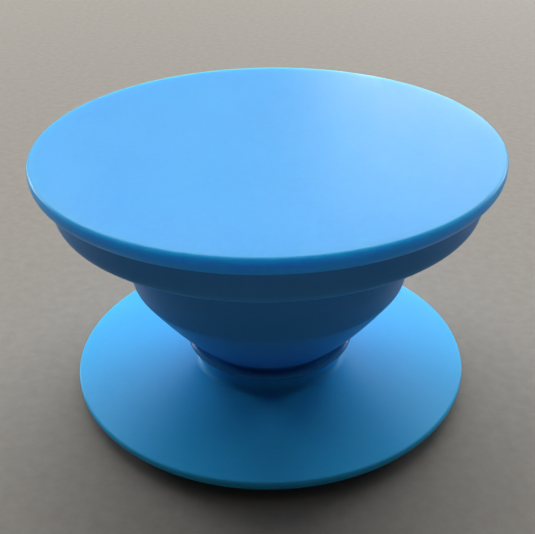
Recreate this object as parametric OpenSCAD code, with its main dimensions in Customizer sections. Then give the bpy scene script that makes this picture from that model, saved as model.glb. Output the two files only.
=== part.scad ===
// Collapsible phone grip: a flat button on a stepped flexible neck, which
// stands on a round base plate and folds down onto it.
// Millimetres, +Z up. The origin is on the axis, on the surface the grip
// stands on. Drawn fully extended.

/* [Button] */
// Diameter of the button
button_d = 40; // [38:0.5:42]
// Thickness of the button at its rim
button_t = 1.66; // [1.6:0.02:1.8]
// Height of the top of the button above the surface it stands on
overall_h = 23.8; // [23.6:0.02:24.4]
// Depth of the shallow dish in the top face
button_dish = 0.12; // [0.05:0.01:0.2]

/* [Neck] */
// Wall thickness of the flexible neck
neck_wall = 0.8; // [0.7:0.05:0.9]
// Outside diameter of the collar under the button
collar_d = 36.9; // [36:0.1:37.2]
// Height of the collar
collar_h = 3.1; // [2.8:0.1:3.4]
// Outside radius of the middle step at its top
step_r_top = 13.2; // [12.8:0.1:13.4]
// Outside radius of the middle step at its bottom
step_r_low = 12.4; // [12:0.1:12.5]

/* [Base] */
// Diameter of the base plate
base_d = 36.7; // [36:0.1:38]
// Thickness of the base plate
base_t = 1.2; // [1.1:0.05:1.4]
// Outside diameter of the hub
hub_d = 13.6; // [13.4:0.1:14]
// Height of the hub above the base plate
hub_h = 1.4; // [1.3:0.1:1.5]

/* [Adhesive] */
// Diameter of the adhesive pad
pad_d = 33; // [32:0.1:34]
// Thickness of the adhesive pad
pad_t = 0.8; // [0.7:0.05:0.9]
// Thickness of the liner that covers the adhesive
liner_t = 0.12; // [0.1:0.01:0.15]
// Diameter of the liner
liner_d = 33.4; // [32.4:0.1:34.4]

/* [Hidden] */
$fn = 96;
eps = 0.01;
button_r = button_d / 2;
rim_top = 0.3;                        // small round at the button's upper edge
rim_low = 1.0;                        // larger round at its lower edge
under_z = overall_h - button_t;       // flat underside of the button
collar_r = collar_d / 2;
collar_z = under_z - collar_h;        // lower edge of the collar
pad_z = liner_t;
base_z = pad_z + pad_t;               // underside of the base plate
plate_z = base_z + base_t;            // top of the base plate
base_r = base_d / 2;
hub_r = hub_d / 2;
hub_z = plate_z + hub_h;              // top of the hub's rim
hub_in = hub_r - 0.7;                 // radius of the hub's socket
bore_r = 3.0;                         // hole that the plug snaps through
web_z = base_z + 0.62;                // underside of the web around the hole
run = 0.05;                           // running clearance, on the radius
foot_r = hub_in - 0.06;               // outside of the neck's foot
floor_z = plate_z + 0.1;              // underside of the neck's foot
floor_t = 0.8;
plug_head_r = 4.9;
plug_head_t = 0.8;
// Ring wall under the button, with a barb round its lower edge
spigot_r = 14;
spigot_t = 0.8;
barb = 0.2;
barb_t = 0.32;
ring_gap = 0.04;
flange_t = 0.55;                      // the neck's upper flange
flange_in = spigot_r + 0.2;
ring_t = 0.55;                        // ring that traps the flange
spigot_z = under_z - flange_t - 0.02 - ring_t - ring_gap - barb_t;
ring_r_out = collar_r - neck_wall - 0.75;

// Points of an arc, anticlockwise from a0 to a1
function arc(cx, cy, r, a0, a1, n = 8) =
    [for (i = [0 : n]) let (a = a0 + (a1 - a0) * i / n) [cx + r * cos(a), cy + r * sin(a)]];

// Point at t along a quadratic curve
function bend(p, q, s, t) = (1 - t) * (1 - t) * p + 2 * t * (1 - t) * q + t * t * s;
function curve(p, q, s, n = 6) = [for (i = [0 : n]) bend(p, q, s, i / n)];

// Radius and height of the outside of the lower cup, t from 0 at its rim
// down to 1 where it meets the foot
cup_top = [step_r_low - 0.1, plate_z + 9.3];
cup_low = [hub_r + 0.25, hub_z + 1.5];
// Bead round the neck's lower end, which overhangs the hub
bead_r = 0.32;
bead_at = [hub_r + 0.7, hub_z + 0.93];

// The button: a flat disc with a crisp upper edge and a rounder lower one, a
// shallow dish in the top and a barbed ring wall below that holds the neck.
module top_disc() {
    color([0.20, 0.52, 0.86]) {
        difference() {
            union() {
                rotate_extrude()
                    polygon(concat(
                        [[0, under_z]],
                        arc(button_r - rim_low, under_z + rim_low, rim_low, 270, 360, 10),
                        arc(button_r - rim_top, overall_h - rim_top, rim_top, 0, 90, 8),
                        [[0, overall_h]]
                    ));
                rotate_extrude()
                    polygon([
                        [spigot_r - spigot_t, spigot_z + 0.15],
                        [spigot_r - spigot_t + 0.15, spigot_z],
                        [spigot_r, spigot_z],
                        [spigot_r + barb, spigot_z + barb_t - 0.08],
                        [spigot_r + barb, spigot_z + barb_t],
                        [spigot_r, spigot_z + barb_t],
                        [spigot_r, under_z + 0.3],
                        [spigot_r - spigot_t, under_z + 0.3]
                    ]);
            }
            // dish in the top face, a shallow cone with a soft edge
            rotate_extrude()
                polygon([
                    [0, overall_h - button_dish],
                    [button_r * 0.45, overall_h - button_dish * 0.72],
                    [button_r * 0.78, overall_h - button_dish * 0.2],
                    [button_r * 0.9, overall_h + eps],
                    [0, overall_h + eps]
                ]);
        }
    }
}

// Split-free ring that snaps over the barb and traps the neck's flange.
module clamp_ring() {
    color([0.17, 0.45, 0.76])
        translate([0, 0, under_z - 0.04 - flange_t - ring_t])
            difference() {
                cylinder(h = ring_t, r = ring_r_out);
                translate([0, 0, -1]) cylinder(h = ring_t + 2, r = spigot_r + 0.05);
                // chamfer that starts it over the barb
                translate([0, 0, ring_t - 0.15]) cylinder(h = 0.15 + eps, r1 = spigot_r + 0.05, r2 = spigot_r + 0.2);
            }
}

// The flexible neck, one moulding: upper flange, collar, web, middle step,
// fold, lower cup, bead and foot.
module bellows() {
    w = neck_wall;
    fr = 0.5;                                   // round at the collar's lower edge
    web_in = [step_r_top + 0.9, collar_z + 0.35];
    fold_z = cup_top[1] + 0.12;
    outer = concat(
        [[flange_in, under_z - 0.02], [collar_r - 0.15, under_z - 0.02], [collar_r, under_z - 0.17]],
        arc(collar_r - fr, collar_z + fr, fr, 0, -90, 6),
        curve([collar_r - 1.4, collar_z - 0.02], [step_r_top + 0.5, collar_z - 0.1], [step_r_top, collar_z - 2.6], 8),
        [[step_r_top - 0.12, collar_z - 4.2]],
        curve([step_r_top - 0.22, collar_z - 4.9], [step_r_low + 0.25, fold_z + 1.1], [step_r_low, fold_z], 6),
        curve(cup_top, [cup_top[0] - 2.9, cup_top[1] - 4.27], [cup_low[0] + 0.4, cup_low[1] + 0.35], 12),
        [cup_low, [cup_low[0] + 0.02, cup_low[1] - 0.2]],
        arc(bead_at[0], bead_at[1], bead_r, 100, -90, 12),
        [[foot_r + 0.25, bead_at[1] - bead_r], [foot_r, bead_at[1] - bead_r - 0.2]],
        [[foot_r, floor_z + 0.3], [foot_r - 0.3, floor_z], [bore_r - run + 0.02, floor_z]]
    );
    inner = concat(
        [[bore_r - run + 0.02, floor_z + floor_t - 0.02], [foot_r - w, floor_z + floor_t - 0.02], [foot_r - w, cup_low[1] - 0.1]],
        curve([foot_r - w + 0.5, cup_low[1] + 0.6], [cup_top[0] - 3.6, cup_top[1] - 3.9], [cup_top[0] - w - 0.05, cup_top[1] + 0.2], 12),
        [[step_r_low - w + 0.02, fold_z + 0.5], [step_r_top - w - 0.22, collar_z - 4.6]],
        curve([step_r_top - w - 0.02, collar_z - 2.6], [step_r_top - w + 0.42, collar_z + 0.66], [collar_r - 2.2, collar_z + w - 0.04], 8),
        [[collar_r - w - 0.2, collar_z + w], [collar_r - w, collar_z + w + 0.2]],
        [[collar_r - w, under_z - 0.02 - flange_t], [flange_in, under_z - 0.02 - flange_t]]
    );
    color([0.13, 0.42, 0.72])
        rotate_extrude() polygon(concat(outer, inner));
}

// Rivet that holds the neck's foot down in the hub. Its legs snap through
// the hole in the base plate and let the neck turn.
module hub_plug() {
    lip_z = base_z + 0.1;
    color([0.16, 0.44, 0.74])
        difference() {
            union() {
                translate([0, 0, floor_z + floor_t]) cylinder(h = plug_head_t, r = plug_head_r);
                translate([0, 0, lip_z]) cylinder(h = floor_z + floor_t - lip_z + eps, r = bore_r - run);
                // snap lip under the web
                translate([0, 0, lip_z]) cylinder(h = 0.14, r1 = bore_r + 0.1, r2 = bore_r + 0.38);
                translate([0, 0, lip_z + 0.14]) cylinder(h = 0.26, r = bore_r + 0.38);
            }
            // hollow shank, open below
            translate([0, 0, lip_z - 1]) cylinder(h = floor_z + floor_t - lip_z + 1, r = 1.7);
            // two crossing slots part the legs
            for (a = [0, 90])
                rotate([0, 0, a])
                    translate([-bore_r - 1, -0.35, lip_z - 1])
                        cube([2 * bore_r + 2, 0.7, floor_z + floor_t - lip_z + 0.7]);
            // shallow ejector mark in the head
            translate([0, 0, floor_z + floor_t + plug_head_t - 0.2]) cylinder(h = 1, r = 1.5);
        }
}

// Base plate, thinned towards its edge from below, with its raised hub, a
// socket for the neck's foot and the stepped hole for the rivet.
module base_plate() {
    color([0.18, 0.48, 0.78])
        difference() {
            union() {
                rotate_extrude()
                    polygon(concat(
                        [[0, base_z], [base_r - 1.0, base_z], [base_r - 0.3, base_z + 0.28], [base_r - 0.05, base_z + 0.5], [base_r, base_z + 0.68]],
                        arc(base_r - 0.22, plate_z - 0.22, 0.22, 0, 90, 8),
                        [[0, plate_z]]
                    ));
                // hub, with a fillet at its foot and a round lip on top
                rotate_extrude()
                    polygon(concat(
                        [[hub_in - 0.5, plate_z - 0.3], [hub_r + 0.7, plate_z - 0.3]],
                        arc(hub_r + 0.6, plate_z + 0.6, 0.6, 270, 180, 6),
                        arc(hub_r - 0.32, hub_z - 0.32, 0.32, 0, 90, 6),
                        [[hub_in + 0.15, hub_z], [hub_in - 0.5, hub_z - 0.2]]
                    ));
            }
            // socket
            translate([0, 0, plate_z]) cylinder(h = hub_h + 1, r = hub_in);
            translate([0, 0, hub_z - 0.2]) cylinder(h = 0.2 + eps, r1 = hub_in, r2 = hub_in + 0.2);
            // hole and its counterbore
            translate([0, 0, base_z - 1]) cylinder(h = base_t + 2, r = bore_r);
            translate([0, 0, base_z - 1]) cylinder(h = web_z - base_z + 1, r = bore_r + 1.1);
        }
}

// Soft adhesive pad under the base plate.
module adhesive_pad() {
    color([0.80, 0.82, 0.84])
        translate([0, 0, pad_z]) cylinder(h = pad_t, d = pad_d);
}

// Liner over the adhesive.
module release_liner() {
    color([0.93, 0.93, 0.90])
        cylinder(h = liner_t, d = liner_d);
}

top_disc();
clamp_ring();
bellows();
hub_plug();
base_plate();
adhesive_pad();
release_liner();
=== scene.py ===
"""Looks of the collapsible phone grip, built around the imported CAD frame. Metres, same frame as the CAD."""
import math

import bpy
from mathutils import Matrix, Vector


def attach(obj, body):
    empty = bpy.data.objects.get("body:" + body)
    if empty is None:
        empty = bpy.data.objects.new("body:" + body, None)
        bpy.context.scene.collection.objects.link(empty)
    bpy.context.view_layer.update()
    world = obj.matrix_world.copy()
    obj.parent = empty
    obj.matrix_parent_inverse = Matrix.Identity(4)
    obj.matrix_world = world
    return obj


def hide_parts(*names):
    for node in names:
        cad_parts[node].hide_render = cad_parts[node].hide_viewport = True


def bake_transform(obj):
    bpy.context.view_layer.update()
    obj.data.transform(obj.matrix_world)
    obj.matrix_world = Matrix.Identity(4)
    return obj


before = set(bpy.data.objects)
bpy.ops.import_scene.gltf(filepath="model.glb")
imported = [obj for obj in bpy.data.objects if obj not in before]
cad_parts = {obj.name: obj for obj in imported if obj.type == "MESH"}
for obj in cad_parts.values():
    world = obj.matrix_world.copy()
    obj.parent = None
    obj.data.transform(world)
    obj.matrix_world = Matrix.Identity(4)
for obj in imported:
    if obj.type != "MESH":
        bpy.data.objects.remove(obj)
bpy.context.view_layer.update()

MM = 0.001
SEG = 288  # steps round the axis

# ---------------------------------------------------------------- camera


def add_camera():
    f_px, e, d, roll = 871.8, math.radians(30.69), 80.44, math.radians(-0.969)
    target = Vector((-0.125, 0.0, 11.322))
    fwd = Vector((0.0, math.cos(e), -math.sin(e)))
    pos = target - d * fwd
    right = Vector((1.0, 0.0, 0.0))
    up = right.cross(fwd)
    r2 = right * math.cos(roll) + up * math.sin(roll)
    u2 = -right * math.sin(roll) + up * math.cos(roll)
    cam = bpy.data.cameras.new("camera")
    cam.sensor_width = 36.0
    cam.sensor_fit = "HORIZONTAL"
    cam.lens = f_px * 36.0 / 535.0
    cam.clip_start = 0.002
    cam.clip_end = 20.0
    cam.dof.use_dof = False
    ob = bpy.data.objects.new("camera", cam)
    bpy.context.scene.collection.objects.link(ob)
    m = Matrix.Identity(4)
    for i in range(3):
        m[i][0], m[i][1], m[i][2], m[i][3] = r2[i], u2[i], -fwd[i], pos[i] * MM
    ob.matrix_world = m
    bpy.context.scene.camera = ob


add_camera()

# ---------------------------------------------------------------- profiles


def bend(p, q, s, n):
    """Points along a quadratic curve."""
    out = []
    for i in range(n + 1):
        t = i / n
        a, b, c = (1 - t) ** 2, 2 * t * (1 - t), t * t
        out.append((a * p[0] + b * q[0] + c * s[0], a * p[1] + b * q[1] + c * s[1]))
    return out


def rounded(corners, n=8):
    """A closed outline from corners (r, z, radius): each corner with a radius becomes an arc."""
    out = []
    k = len(corners)
    for i, c in enumerate(corners):
        r = c[2] if len(c) > 2 else 0.0
        p = Vector((c[0], c[1]))
        if r <= 0:
            out.append((p.x, p.y))
            continue
        a = Vector(corners[i - 1][:2]) - p
        b = Vector(corners[(i + 1) % k][:2]) - p
        la, lb = a.length, b.length
        a.normalize()
        b.normalize()
        half = a.angle(b) / 2
        cut = min(r / math.tan(half), la * 0.499, lb * 0.499)
        r = cut * math.tan(half)
        centre = p + (a + b).normalized() * (r / math.sin(half))
        s, e = p + a * cut - centre, p + b * cut - centre
        turn = s.angle_signed(e)
        for j in range(n + 1):
            v = Matrix.Rotation(-turn * j / n, 2) @ s
            out.append((centre.x + v.x, centre.y + v.y))
    return out


def softened(points, keep, passes):
    """Rounds the creases of an open run of points a little; the ends and what keep names stay."""
    pts = [Vector(p) for p in points]
    for _ in range(passes):
        new = [pts[0]]
        for i in range(1, len(pts) - 1):
            new.append(pts[i] if i in keep else pts[i] * 0.5 + (pts[i - 1] + pts[i + 1]) * 0.25)
        new.append(pts[-1])
        pts = new
    return [(p.x, p.y) for p in pts]


def evenly(points, step):
    """Points on the same run, step apart."""
    pts = [Vector(p) for p in points]
    at = [0.0]
    for a, b in zip(pts, pts[1:]):
        at.append(at[-1] + (b - a).length)
    n = max(2, round(at[-1] / step))
    out, j = [], 0
    for i in range(n + 1):
        s = at[-1] * i / n
        while j < len(pts) - 2 and at[j + 1] < s:
            j += 1
        t = (s - at[j]) / max(at[j + 1] - at[j], 1e-9)
        p = pts[j].lerp(pts[j + 1], min(max(t, 0), 1))
        out.append((p.x, p.y))
    return out


def turned(name, outline, seg=SEG, wobble=None):
    """A closed outline of (r, z) in millimetres, turned about the axis into a closed mesh."""
    clean = []
    for p in outline:
        if not clean or (Vector(p) - Vector(clean[-1])).length > 1e-5:
            clean.append(p)
    if (Vector(clean[0]) - Vector(clean[-1])).length <= 1e-5:
        clean.pop()
    verts, rings = [], []
    for r, z in clean:
        if r < 1e-6:
            rings.append([len(verts)])
            verts.append((0.0, 0.0, z * MM))
        else:
            rings.append(list(range(len(verts), len(verts) + seg)))
            for i in range(seg):
                a = 2 * math.pi * i / seg
                rr = r + (wobble(r, z, a) if wobble else 0.0)
                verts.append((rr * math.cos(a) * MM, rr * math.sin(a) * MM, z * MM))
    faces = []
    k = len(rings)
    for j in range(k):
        lo, hi = rings[j], rings[(j + 1) % k]
        if len(lo) == 1 and len(hi) == 1:
            continue
        for i in range(seg):
            i2 = (i + 1) % seg
            if len(lo) == 1:
                faces.append((lo[0], hi[i2], hi[i]))
            elif len(hi) == 1:
                faces.append((lo[i], lo[i2], hi[0]))
            else:
                faces.append((lo[i], lo[i2], hi[i2], hi[i]))
    me = bpy.data.meshes.new(name)
    me.from_pydata(verts, [], faces)
    me.validate()
    import bmesh

    bm = bmesh.new()
    bm.from_mesh(me)
    bmesh.ops.recalc_face_normals(bm, faces=bm.faces)
    if bm.calc_volume(signed=True) < 0:
        bmesh.ops.reverse_faces(bm, faces=bm.faces)
    bm.to_mesh(me)
    bm.free()
    for p in me.polygons:
        p.use_smooth = True
    me.update()
    ob = bpy.data.objects.new(name, me)
    bpy.context.scene.collection.objects.link(ob)
    return ob


# ---------------------------------------------------------------- sizes, from part.scad

TOP, BUTTON_R, BUTTON_T, DISH = 23.8, 20.0, 1.66, 0.12
RIM_TOP, RIM_LOW = 0.3, 1.0
UNDER = TOP - BUTTON_T
COLLAR_R, COLLAR_Z, WALL = 18.45, UNDER - 3.1, 0.8
PAD_Z, BASE_Z, PLATE_Z, HUB_Z = 0.12, 0.92, 2.12, 3.52
BASE_R, HUB_R = 18.35, 6.8
HUB_IN = HUB_R - 0.7
FOOT_R = HUB_IN - 0.06
FLOOR_Z, FLOOR_T = PLATE_Z + 0.1, 0.8
STEP_TOP, STEP_LOW = 13.2, 12.4
CUP_TOP = (STEP_LOW - 0.1, PLATE_Z + 9.3)
CUP_LOW = (HUB_R + 0.25, HUB_Z + 1.5)
BEAD_AT, BEAD_R = (HUB_R + 0.7, HUB_Z + 0.93), 0.32
SPIGOT_R, SPIGOT_Z = 14.0, UNDER - 0.55 - 0.02 - 0.55 - 0.04 - 0.32

# ---------------------------------------------------------------- materials


class Nodes:
    def __init__(self, tree):
        self.t = tree

    def add(self, kind, **props):
        n = self.t.nodes.new(kind)
        for k, v in props.items():
            setattr(n, k, v)
        return n

    def link(self, a, b):
        self.t.links.new(a, b)


def noise(nt, vec, scale, detail=3.0, rough=0.5):
    n = nt.add("ShaderNodeTexNoise")
    n.inputs["Scale"].default_value = scale
    n.inputs["Detail"].default_value = detail
    n.inputs["Roughness"].default_value = rough
    nt.link(vec, n.inputs["Vector"])
    return n.outputs["Fac"]


def mapped(nt, value, a, b, c, d):
    n = nt.add("ShaderNodeMapRange")
    n.inputs["From Min"].default_value = a
    n.inputs["From Max"].default_value = b
    n.inputs["To Min"].default_value = c
    n.inputs["To Max"].default_value = d
    nt.link(value, n.inputs["Value"])
    return n.outputs["Result"]


def mixed(nt, fac, a, b):
    n = nt.add("ShaderNodeMix", data_type="RGBA")
    for s, v in ((n.inputs[6], a), (n.inputs[7], b)):
        if isinstance(v, tuple):
            s.default_value = (*v, 1.0)
        else:
            nt.link(v, s)
    nt.link(fac, n.inputs[0])
    return n.outputs[2]


def moulded(name, deep, pale, rough, grain=1.0, spec=0.5, coat=0.0, coat_rough=0.1, cloud=1.0, glow=0.0):
    """Self-coloured moulded plastic: faint flow clouds in the colour, a fine spark-eroded grain and slightly uneven gloss."""
    m = bpy.data.materials.new(name)
    m.use_nodes = True
    nt = Nodes(m.node_tree)
    bsdf = m.node_tree.nodes["Principled BSDF"]
    co = nt.add("ShaderNodeTexCoord").outputs["Object"]
    flow = noise(nt, co, 95.0, 4.0, 0.55)
    fine = noise(nt, co, 1900.0, 1.0, 0.5)
    smear = nt.add("ShaderNodeMapping")
    smear.inputs["Scale"].default_value = (1.0, 0.22, 1.0)
    smear.inputs["Rotation"].default_value = (0.0, 0.0, 0.6)
    nt.link(co, smear.inputs["Vector"])
    handled = noise(nt, smear.outputs["Vector"], 420.0, 2.0, 0.5)
    tone = mapped(nt, flow, 0.3, 0.7, 0.0, 1.0)
    colour = mixed(nt, tone, deep, pale)
    speck = mapped(nt, fine, 0.35, 0.65, 0.0, 1.0)
    dusty = mixed(nt, speck, colour, tuple(min(1.0, c * 1.035 + 0.001) for c in pale))
    blend = nt.add("ShaderNodeMix", data_type="RGBA")
    blend.inputs[0].default_value = 0.3 * cloud
    nt.link(colour, blend.inputs[6])
    nt.link(dusty, blend.inputs[7])
    nt.link(blend.outputs[2], bsdf.inputs["Base Color"])
    r = mapped(nt, handled, 0.3, 0.7, rough - 0.035, rough + 0.045)
    nt.link(r, bsdf.inputs["Roughness"])
    height = nt.add("ShaderNodeMath", operation="ADD")
    wide = nt.add("ShaderNodeMath", operation="MULTIPLY")
    wide.inputs[1].default_value = 0.7
    nt.link(noise(nt, co, 700.0, 2.0, 0.5), wide.inputs[0])
    nt.link(fine, height.inputs[0])
    nt.link(wide.outputs[0], height.inputs[1])
    bump = nt.add("ShaderNodeBump")
    bump.inputs["Strength"].default_value = 0.06 * grain
    bump.inputs["Distance"].default_value = 0.00002
    nt.link(height.outputs[0], bump.inputs["Height"])
    nt.link(bump.outputs["Normal"], bsdf.inputs["Normal"])
    bsdf.inputs["Specular IOR Level"].default_value = spec
    bsdf.inputs["IOR"].default_value = 1.5
    if glow:
        bsdf.subsurface_method = "RANDOM_WALK"
        bsdf.inputs["Subsurface Weight"].default_value = glow
        bsdf.inputs["Subsurface Radius"].default_value = (0.45, 1.0, 0.80)
        bsdf.inputs["Subsurface Scale"].default_value = 0.0030
    if coat:
        bsdf.inputs["Coat Weight"].default_value = coat
        bsdf.inputs["Coat Roughness"].default_value = coat_rough
    return m


BLUE_DEEP, BLUE_PALE = (0.026, 0.325, 0.775), (0.032, 0.355, 0.815)
button_mat = moulded("button_plastic", BLUE_DEEP, BLUE_PALE, 0.32, spec=0.14, glow=1.0)
base_mat = moulded("base_plastic", (0.032, 0.425, 0.88), (0.038, 0.455, 0.92), 0.32, spec=0.09, glow=0.3)
neck_mat = moulded("neck_elastomer", (0.038, 0.262, 0.69), (0.044, 0.285, 0.74), 0.35, grain=0.8, spec=0.14, glow=0.15)
# Painted shade: the bead and foot are the neck's own elastomer, given a darker copy of its colour because they sit in
# the shaded crease above the hub.
foot_shaded_mat = moulded("neck_lower_end_painted_shade", (0.022, 0.235, 0.50), (0.026, 0.255, 0.54), 0.26, grain=0.5, spec=0.30)
inner_mat = moulded("inner_plastic", (0.020, 0.30, 0.70), (0.026, 0.34, 0.76), 0.42, grain=1.4)
gel_mat = moulded("adhesive_gel", (0.60, 0.63, 0.66), (0.70, 0.73, 0.75), 0.22, grain=0.6)
liner_mat = moulded("liner_film", (0.80, 0.80, 0.77), (0.87, 0.87, 0.84), 0.34, grain=0.7)


def finish_piece(ob, mat, slot, *nodes):
    ob.data.materials.clear()
    ob.data.materials.append(mat)
    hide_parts(*nodes)
    return ob


# ---------------------------------------------------------------- the button

face = []
for i in range(25):  # shallow dish, flattening towards the rim
    r = (BUTTON_R - RIM_TOP) * i / 24
    u = r / (BUTTON_R * 0.92)
    drop = DISH * (1 - min(1.0, u) ** 2) ** 2
    face.append((r, TOP - drop))
edge = [
    (BUTTON_R - RIM_TOP + RIM_TOP * math.cos(math.radians(a)), TOP - RIM_TOP + RIM_TOP * math.sin(math.radians(a)))
    for a in [90 - 90 * i / 14 for i in range(15)]
] + [
    (BUTTON_R - RIM_LOW + RIM_LOW * math.cos(math.radians(a)), UNDER + RIM_LOW + RIM_LOW * math.sin(math.radians(a)))
    for a in [-90 * i / 20 for i in range(21)]
]
under = rounded(
    [
        (BUTTON_R - RIM_LOW, UNDER),
        (SPIGOT_R, UNDER, 0.08),
        (SPIGOT_R, SPIGOT_Z + 0.32),
        (SPIGOT_R + 0.2, SPIGOT_Z + 0.32, 0.03),
        (SPIGOT_R + 0.2, SPIGOT_Z + 0.24, 0.04),
        (SPIGOT_R, SPIGOT_Z, 0.08),
        (SPIGOT_R - 0.8, SPIGOT_Z, 0.12),
        (SPIGOT_R - 0.8, UNDER, 0.15),
        (0.0, UNDER),
        (0.0, UNDER + 0.5),
    ],
    6,
)[1:-1]
button = turned("button", face + edge[1:] + under, 320)
finish_piece(button, button_mat, "button_plastic", "top_disc")
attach(button, "head")

# ---------------------------------------------------------------- snap ring under the button

ring_z = UNDER - 0.04 - 0.55 - 0.55
ring = turned(
    "snap_ring",
    rounded(
        [
            (SPIGOT_R + 0.06, ring_z, 0.08),
            (COLLAR_R - WALL - 0.75, ring_z, 0.12),
            (COLLAR_R - WALL - 0.75, ring_z + 0.55, 0.1),
            (SPIGOT_R + 0.2, ring_z + 0.55),
            (SPIGOT_R + 0.06, ring_z + 0.4),
        ],
        5,
    ),
    192,
)
finish_piece(ring, inner_mat, "inner_plastic", "clamp_ring")
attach(ring, "head")

# ---------------------------------------------------------------- the flexible neck, one moulding

FOLD_Z = CUP_TOP[1] + 0.12
F_IN = SPIGOT_R + 0.2
fr = 0.75
SEAM_Z = BEAD_AT[1] + 0.1  # the wall runs this far down into the bead
wall_out = (
    [(COLLAR_R, UNDER - 0.17), (COLLAR_R, COLLAR_Z + 1.6)]
    + [
        (COLLAR_R - fr + fr * math.cos(math.radians(a)), COLLAR_Z + fr + fr * math.sin(math.radians(a)))
        for a in [-90 * i / 10 for i in range(11)]
    ]
    + bend((COLLAR_R - 1.4, COLLAR_Z - 0.02), (STEP_TOP + 0.5, COLLAR_Z - 0.1), (STEP_TOP, COLLAR_Z - 2.6), 16)
    + [(STEP_TOP - 0.12, COLLAR_Z - 4.2)]
    + bend((STEP_TOP - 0.22, COLLAR_Z - 4.9), (STEP_LOW + 0.25, FOLD_Z + 1.1), (STEP_LOW, FOLD_Z), 8)
    + bend(CUP_TOP, (CUP_TOP[0] - 2.9, CUP_TOP[1] - 4.27), (CUP_LOW[0] + 0.4, CUP_LOW[1] + 0.35), 20)
    + [CUP_LOW, (CUP_LOW[0], SEAM_Z)]
)
wall_out = softened(evenly(wall_out, 0.16), (), 2)
wall_in = (
    [(FOOT_R - WALL + 0.12, SEAM_Z), (FOOT_R - WALL + 0.14, CUP_LOW[1] - 0.1)]
    + bend((FOOT_R - WALL + 0.5, CUP_LOW[1] + 0.6), (CUP_TOP[0] - 3.6, CUP_TOP[1] - 3.9), (CUP_TOP[0] - WALL - 0.05, CUP_TOP[1] + 0.2), 16)
    + [(STEP_LOW - WALL + 0.02, FOLD_Z + 0.5), (STEP_TOP - WALL - 0.22, COLLAR_Z - 4.6)]
    + bend((STEP_TOP - WALL - 0.02, COLLAR_Z - 2.6), (STEP_TOP - WALL + 0.42, COLLAR_Z + 0.66), (COLLAR_R - 2.2, COLLAR_Z + WALL - 0.04), 14)
    + [(COLLAR_R - WALL - 0.2, COLLAR_Z + WALL), (COLLAR_R - WALL, COLLAR_Z + WALL + 0.2), (COLLAR_R - WALL, UNDER - 1.0)]
)
wall_in = softened(evenly(wall_in, 0.24), (), 2)
flange = rounded(
    [
        (COLLAR_R - WALL, UNDER - 1.0),
        (COLLAR_R - WALL, UNDER - 0.57, 0.1),
        (F_IN, UNDER - 0.57, 0.08),
        (F_IN, UNDER - 0.02, 0.08),
        (COLLAR_R, UNDER - 0.02, 0.15),
        (COLLAR_R, UNDER - 0.17),
    ],
    5,
)[1:-1]
neck = turned("neck", wall_out + wall_in + flange, 272)
finish_piece(neck, neck_mat, "neck_elastomer", "bellows")
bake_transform(neck)

# The bead and the foot, turned as one piece apart from the neck wall: on the grip the foot stays in the hub while the
# bead goes with the neck as it tilts.
bead = [
    (BEAD_AT[0] + BEAD_R * math.cos(math.radians(a)), BEAD_AT[1] + BEAD_R * math.sin(math.radians(a)))
    for a in [110 - 200 * i / 24 for i in range(25)]
]
foot_out = evenly([bead[-1], (FOOT_R + 0.25, BEAD_AT[1] - BEAD_R), (FOOT_R, BEAD_AT[1] - BEAD_R - 0.2), (FOOT_R, FLOOR_Z + 0.4)], 0.12)
foot_in = rounded(
    [
        (FOOT_R, FLOOR_Z + 0.4),
        (FOOT_R, FLOOR_Z, 0.3),
        (3.0, FLOOR_Z, 0.1),
        (3.0, FLOOR_Z + FLOOR_T - 0.02, 0.1),
        (FOOT_R - WALL, FLOOR_Z + FLOOR_T - 0.02, 0.15),
        (FOOT_R - WALL, FLOOR_Z + FLOOR_T + 0.5),
    ],
    6,
)[1:-1]
bead_top = BEAD_AT[1] + BEAD_R - 0.02
foot_up = evenly([(FOOT_R - WALL, FLOOR_Z + FLOOR_T + 0.4), (FOOT_R - WALL, bead_top)], 0.15) + [(FOOT_R + 0.3, bead_top)]
neck_foot = turned("neck_foot", bead + foot_out[1:] + foot_in + foot_up, 272)
# the neck's colour painted darker here, as shade in the crease above the hub
finish_piece(neck_foot, foot_shaded_mat, "neck_elastomer", "bellows")
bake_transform(neck_foot)

# ---------------------------------------------------------------- base plate with its hub

BORE = 3.0
base = turned(
    "base_plate_moulding",
    rounded(
        [
            (BASE_R - 1.0, BASE_Z, 0.3),
            (BASE_R - 0.3, BASE_Z + 0.28, 0.5),
            (BASE_R, BASE_Z + 0.68, 0.3),
            (BASE_R, PLATE_Z, 0.22),
            (HUB_R, PLATE_Z, 0.6),
            (HUB_R, HUB_Z, 0.32),
            (HUB_IN, HUB_Z, 0.22),
            (HUB_IN, PLATE_Z, 0.08),
            (BORE, PLATE_Z, 0.08),
            (BORE, BASE_Z + 0.62, 0.05),
            (BORE + 1.1, BASE_Z + 0.62, 0.08),
            (BORE + 1.1, BASE_Z, 0.1),
        ],
        9,
    ),
    320,
)
finish_piece(base, base_mat, "base_plastic", "base_plate")
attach(base, "base")

# ---------------------------------------------------------------- adhesive pad and liner

pad = turned(
    "adhesive_disc",
    rounded([(0, PAD_Z), (16.5, PAD_Z, 0.1), (16.42, PAD_Z + 0.4), (16.5, BASE_Z, 0.1), (0, BASE_Z)], 5),
    224,
)
finish_piece(pad, gel_mat, "adhesive_gel", "adhesive_pad")
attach(pad, "base")
liner = turned("liner_disc", rounded([(0, 0), (16.7, 0, 0.04), (16.7, PAD_Z, 0.04), (0, PAD_Z)], 4), 224)
finish_piece(liner, liner_mat, "liner_film", "release_liner")
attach(liner, "base")

# ---------------------------------------------------------------- the rivet stays as the CAD made it

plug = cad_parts["hub_plug"]
plug.data.materials.clear()
plug.data.materials.append(inner_mat)

# ---------------------------------------------------------------- floor and light


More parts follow.
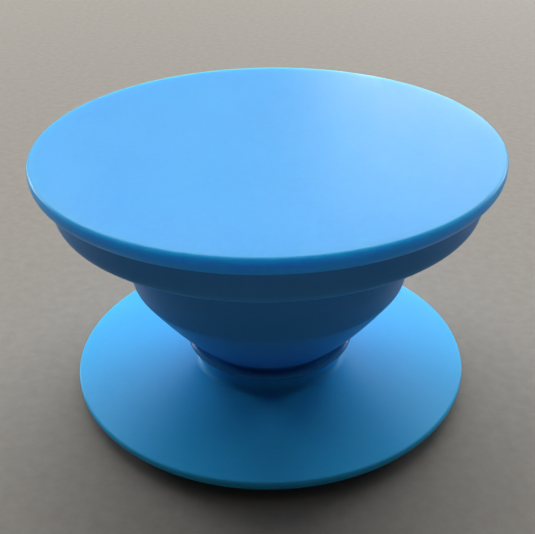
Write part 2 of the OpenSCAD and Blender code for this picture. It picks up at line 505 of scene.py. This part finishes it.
def add_floor():
    me = bpy.data.meshes.new("floor")
    s = 1.5
    me.from_pydata([(-s, -s, 0), (s, -s, 0), (s, s, 0), (-s, s, 0)], [], [(0, 1, 2, 3)])
    ob = bpy.data.objects.new("floor", me)
    bpy.context.scene.collection.objects.link(ob)
    m = bpy.data.materials.new("floor_board")
    m.use_nodes = True
    nt = Nodes(m.node_tree)
    bsdf = m.node_tree.nodes["Principled BSDF"]
    co = nt.add("ShaderNodeTexCoord").outputs["Object"]
    tone = mapped(nt, noise(nt, co, 900.0, 4.0, 0.6), 0.3, 0.7, 0.0, 1.0)
    nt.link(mixed(nt, tone, (0.246, 0.230, 0.202), (0.282, 0.265, 0.235)), bsdf.inputs["Base Color"])
    bsdf.inputs["Roughness"].default_value = 0.75
    bsdf.inputs["Specular IOR Level"].default_value = 0.25
    me.materials.append(m)


add_floor()


def add_area(name, pos, aim, size, power, colour=(1, 1, 1)):
    li = bpy.data.lights.new(name, "AREA")
    li.shape = "RECTANGLE"
    li.size, li.size_y = size[0] * MM, size[1] * MM
    li.energy = power
    li.color = colour
    ob = bpy.data.objects.new(name, li)
    bpy.context.scene.collection.objects.link(ob)
    p, a = Vector(pos) * MM, Vector(aim) * MM
    ob.matrix_world = Matrix.Translation(p) @ (p - a).to_track_quat("Z", "Y").to_matrix().to_4x4()
    return ob


def add_world():
    w = bpy.data.worlds.new("studio")
    bpy.context.scene.world = w
    w.use_nodes = True
    nt = Nodes(w.node_tree)
    bg = w.node_tree.nodes["Background"]
    co = nt.add("ShaderNodeTexCoord").outputs["Generated"]
    norm = nt.add("ShaderNodeVectorMath", operation="NORMALIZE")
    nt.link(co, norm.inputs[0])
    dot = nt.add("ShaderNodeVectorMath", operation="DOT_PRODUCT")
    nt.link(norm.outputs["Vector"], dot.inputs[0])
    back = Vector((0.05, 0.80, 0.60)).normalized()
    dot.inputs[1].default_value = back
    ramp = nt.add("ShaderNodeMapRange", interpolation_type="SMOOTHSTEP")
    ramp.inputs["From Min"].default_value = -0.1
    ramp.inputs["From Max"].default_value = 1.0
    ramp.inputs["To Min"].default_value = 0.030
    ramp.inputs["To Max"].default_value = 0.44
    nt.link(dot.outputs["Value"], ramp.inputs["Value"])
    nt.link(ramp.outputs["Result"], bg.inputs["Strength"])
    nt.link(mixed(nt, mapped(nt, dot.outputs["Value"], -0.2, 0.6, 0.0, 1.0), (1.0, 0.80, 0.57), (0.98, 0.98, 1.0)), bg.inputs["Color"])


add_world()
add_area("softbox_back", (-20, 740, 881), (0, 0, 8), (1790, 990), 20.6)
add_area("softbox_low", (158, 444, 145), (0, 0, 12), (250, 110), 0.36)
add_area("strip_left", (-356, 278, 104), (0, 0, 8), (150, 60), 0.60)
add_area("strip_right", (356, 278, 104), (0, 0, 8), (150, 60), 0.44)

bpy.context.scene.view_settings.view_transform = "Standard"
bpy.context.scene.view_settings.look = "None"
